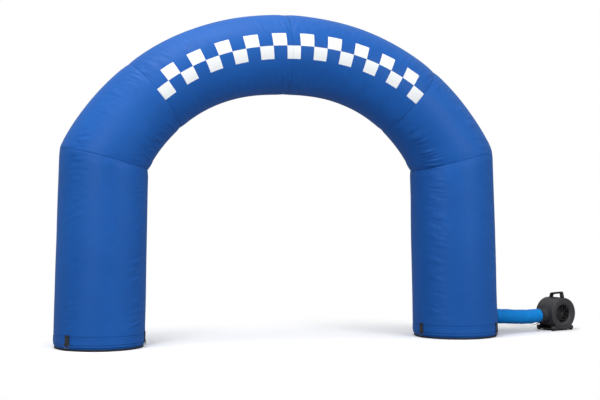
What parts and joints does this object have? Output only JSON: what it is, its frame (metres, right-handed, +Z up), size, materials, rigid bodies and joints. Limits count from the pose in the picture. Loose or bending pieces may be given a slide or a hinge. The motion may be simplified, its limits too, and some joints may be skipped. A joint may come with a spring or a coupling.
{
  "type": "inflatable arch",
  "caption": "Free-standing inflated cloth event arch with round legs on ground pads, anchor straps and a blower joined by a cloth air sleeve.",
  "frame": {"origin": "centre of the left ground pad's underside", "axes": "+X along the arch from the left leg to the right leg and the blower, -Y to the front, +Z up"},
  "size_m": [6.8564, 1.0912, 3.9929],
  "materials": {
    "arch_cloth": "woven nylon, soft sheen",
    "pad_vinyl": "coated cloth, matt",
    "webbing": "woven webbing, matt",
    "ring_steel": "zinc plated, dulled",
    "sleeve_cloth": "woven nylon, soft sheen",
    "housing_plastic": "fine moulded texture",
    "grille_plastic": "moulded",
    "handle_plastic": "moulded, satin",
    "foot_rubber": "matt",
    "motor_metal": "cast, dull"
  },
  "bodies": {
    "arch": {"left_leg": "arch_cloth", "right_leg": "arch_cloth", "left_shoulder": "arch_cloth", "right_shoulder": "arch_cloth", "left_top": "arch_cloth", "right_top": "arch_cloth", "left_foot_band": "arch_cloth", "right_foot_band": "arch_cloth", "left_pad": "pad_vinyl", "right_pad": "pad_vinyl", "left_strap_outer": "webbing", "left_strap_inner": "webbing", "left_strap_rear": "webbing", "right_strap_outer": "webbing", "right_strap_inner": "webbing", "right_strap_rear": "webbing", "cinch_strap": "webbing", "left_ring_outer": "ring_steel", "left_ring_inner": "ring_steel", "left_ring_rear": "ring_steel", "right_ring_outer": "ring_steel", "right_ring_inner": "ring_steel", "right_ring_rear": "ring_steel", "sleeve": "sleeve_cloth", "housing": "housing_plastic", "intake_ring": "housing_plastic", "base": "housing_plastic", "grille": "grille_plastic", "handle": "handle_plastic", "cord_gland": "handle_plastic", "foot_front_left": "foot_rubber", "foot_front_right": "foot_rubber", "foot_back_left": "foot_rubber", "foot_back_right": "foot_rubber", "motor": "motor_metal"},
    "impeller": {"impeller": "grille_plastic"}
  },
  "joints": [
    {"name": "impeller_spin", "type": "hinge", "parent": "arch", "child": "impeller", "pos_m": [6.0704, 0.2791, 0.22], "axis": [0.309, -0.9511, 0], "continuous": true}
  ]
}
